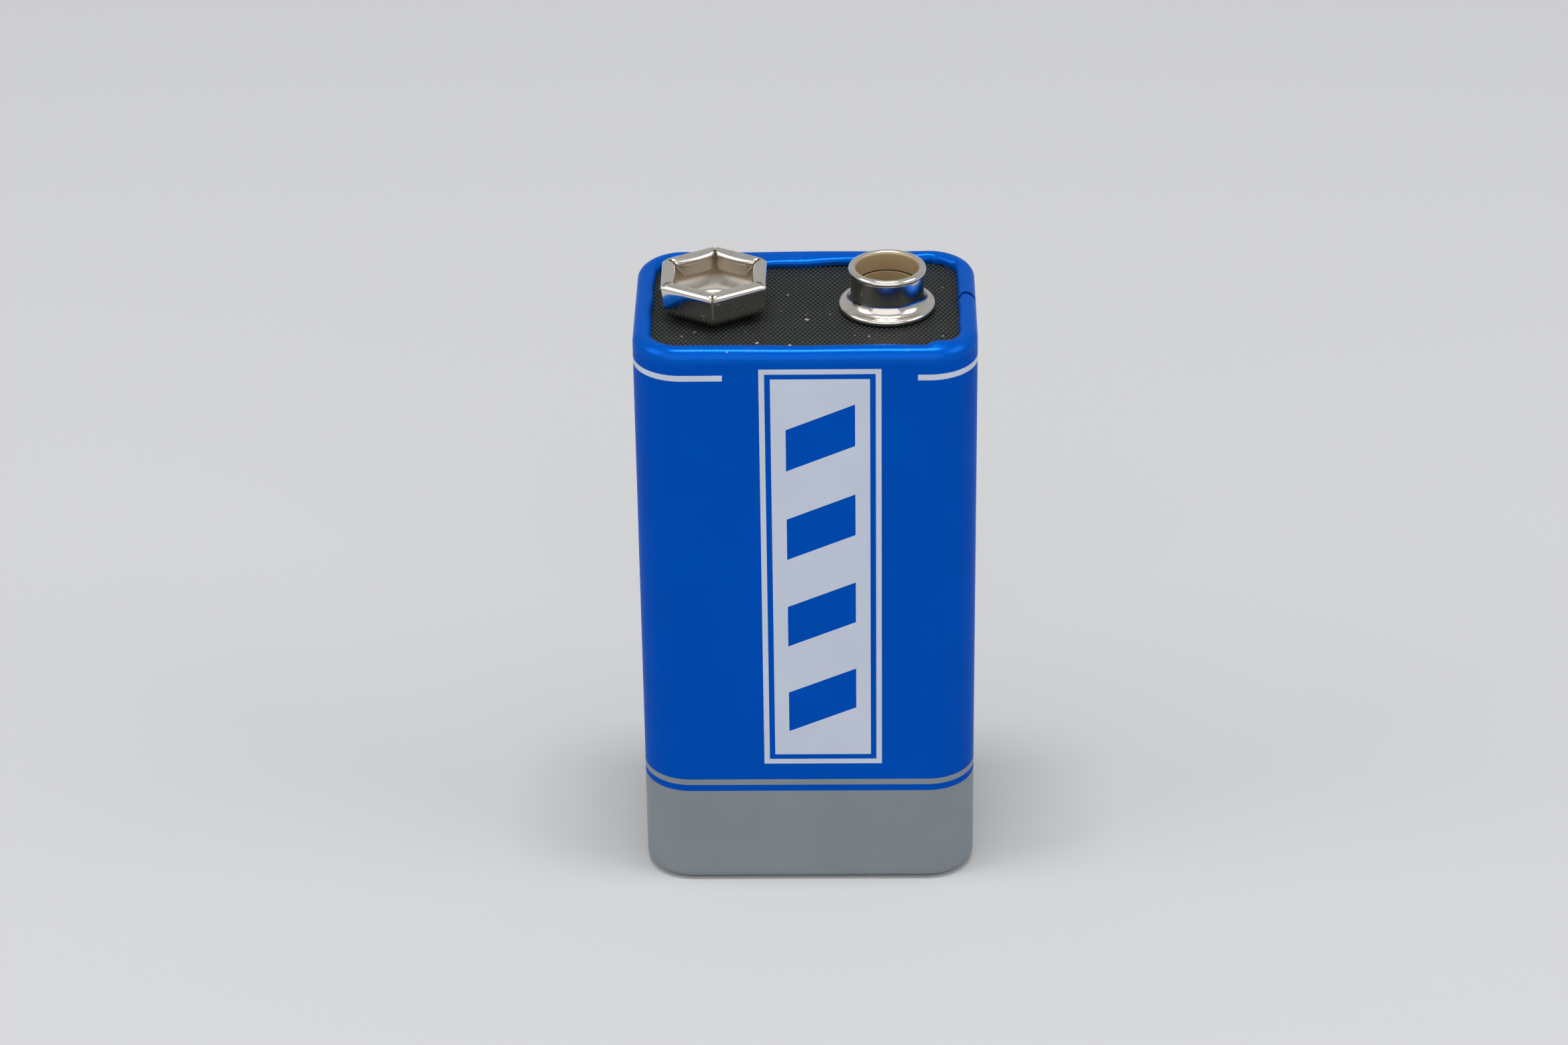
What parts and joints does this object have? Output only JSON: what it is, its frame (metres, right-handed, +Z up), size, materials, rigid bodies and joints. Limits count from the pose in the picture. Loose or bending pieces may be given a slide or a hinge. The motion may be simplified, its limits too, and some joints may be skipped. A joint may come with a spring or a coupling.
{
  "type": "nine volt battery",
  "caption": "Nine volt layer battery: printed steel jacket rolled over a fibre terminal plate, with a round stud and a hexagonal spring socket on top.",
  "frame": {"origin": "middle of the base on the surface that the battery stands on", "axes": "+Z up towards the terminals, -Y the printed front, +X the side of the positive stud"},
  "size_m": [0.0252, 0.0172, 0.0482],
  "materials": {
    "blue_jacket": "gloss",
    "grey_ink": "satin",
    "white_ink": "gloss",
    "black_fibre": "embossed",
    "nickel": "bright nickel",
    "tarnished_brass": "dull",
    "tinned_steel": "satin",
    "carbon_coat": "matte",
    "card": "matte",
    "clear_film": "gloss",
    "black_plastic": "satin",
    "zinc": "dull",
    "separator_paper": "matte",
    "cathode_mix": "matte"
  },
  "bodies": {
    "root": {"jacket": "blue_jacket", "grey_band": "grey_ink", "grey_pinstripe": "grey_ink", "white_frame": "white_ink", "white_panel": "white_ink", "white_top_line": "white_ink", "terminal_plate": "black_fibre", "positive_stud": "nickel", "positive_rivet": "tarnished_brass", "positive_spring": "tinned_steel", "negative_socket": "nickel", "negative_eyelet": "nickel", "negative_strip": "tinned_steel", "top_contact_plate": "carbon_coat", "top_card": "card", "cell_sleeve": "clear_film", "card_liner": "card", "bottom_plate": "black_plastic", "cell_1_zinc_plate": "zinc", "cell_1_separator": "separator_paper", "cell_1_cathode_cake": "cathode_mix", "cell_1_film": "clear_film", "cell_2_zinc_plate": "zinc", "cell_2_separator": "separator_paper", "cell_2_cathode_cake": "cathode_mix", "cell_2_film": "clear_film", "cell_3_zinc_plate": "zinc", "cell_3_separator": "separator_paper", "cell_3_cathode_cake": "cathode_mix", "cell_3_film": "clear_film", "cell_4_zinc_plate": "zinc", "cell_4_separator": "separator_paper", "cell_4_cathode_cake": "cathode_mix", "cell_4_film": "clear_film", "cell_5_zinc_plate": "zinc", "cell_5_separator": "separator_paper", "cell_5_cathode_cake": "cathode_mix", "cell_5_film": "clear_film", "cell_6_zinc_plate": "zinc", "cell_6_separator": "separator_paper", "cell_6_cathode_cake": "cathode_mix", "cell_6_film": "clear_film"}
  },
  "joints": []
}
